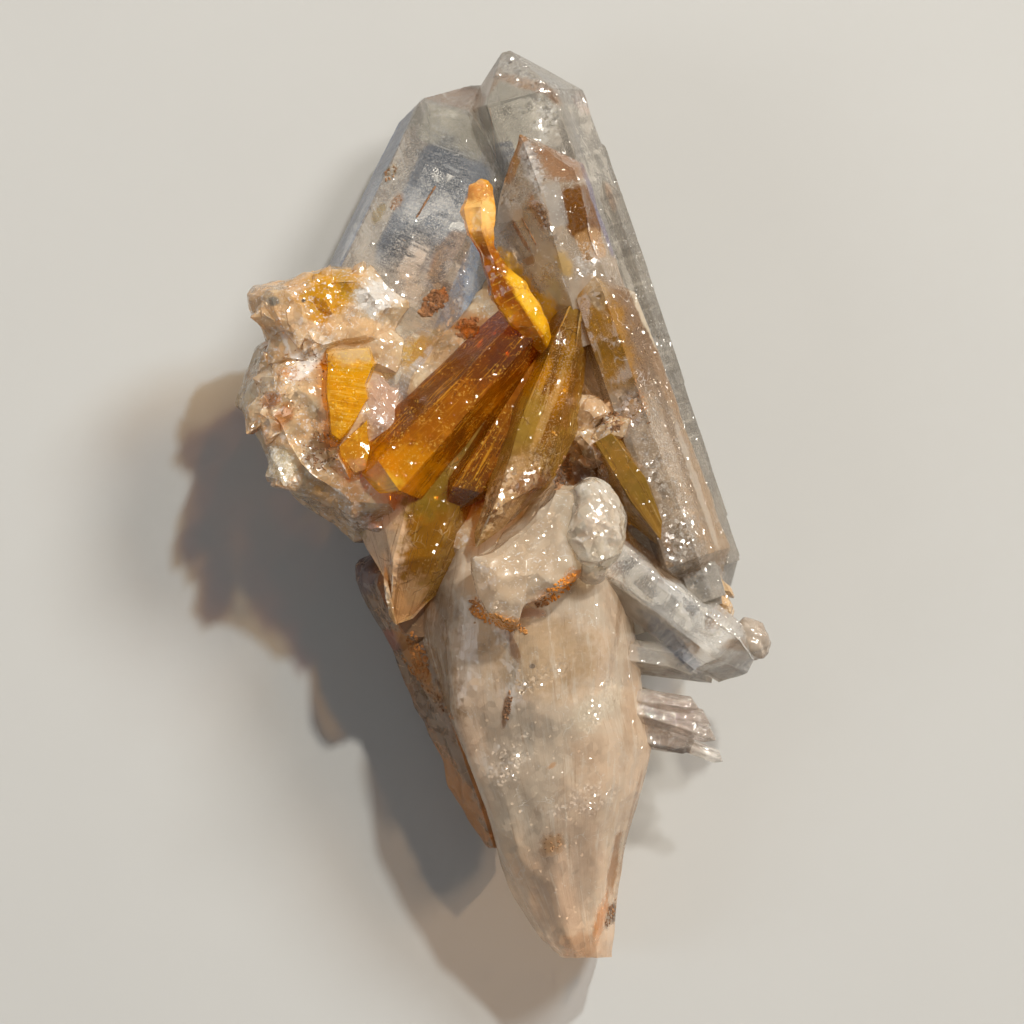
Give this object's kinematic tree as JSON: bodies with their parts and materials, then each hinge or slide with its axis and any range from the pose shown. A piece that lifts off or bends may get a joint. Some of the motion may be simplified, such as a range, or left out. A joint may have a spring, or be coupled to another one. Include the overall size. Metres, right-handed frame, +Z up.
{
  "type": "citrine crystal point",
  "caption": "Natural quartz specimen grown as one piece: clear prismatic points, amber citrine crystals fanning between them and a milky tapering tail, lying flat on its back.",
  "frame": {"origin": "on the surface that the specimen lies on, under the middle of its plan", "axes": "+Z up out of the front face that the picture shows, +Y along the specimen from its broken tail to its clear tips, +X to the right for a viewer who looks down on it with the tips at the top"},
  "size_m": [0.0536, 0.0913, 0.0282],
  "materials": {
    "clear_quartz": "clear to faintly grey quartz with glossy natural faces",
    "amber_citrine": "amber to golden citrine, glossy and see-through",
    "milky_quartz": "milky beige quartz, broken and sugary, see-through at its edges",
    "iron_crust": "matt rusty brown iron stain and crumbs"
  },
  "bodies": {
    "root": {"citrine_cluster": "clear_quartz"}
  },
  "joints": []
}
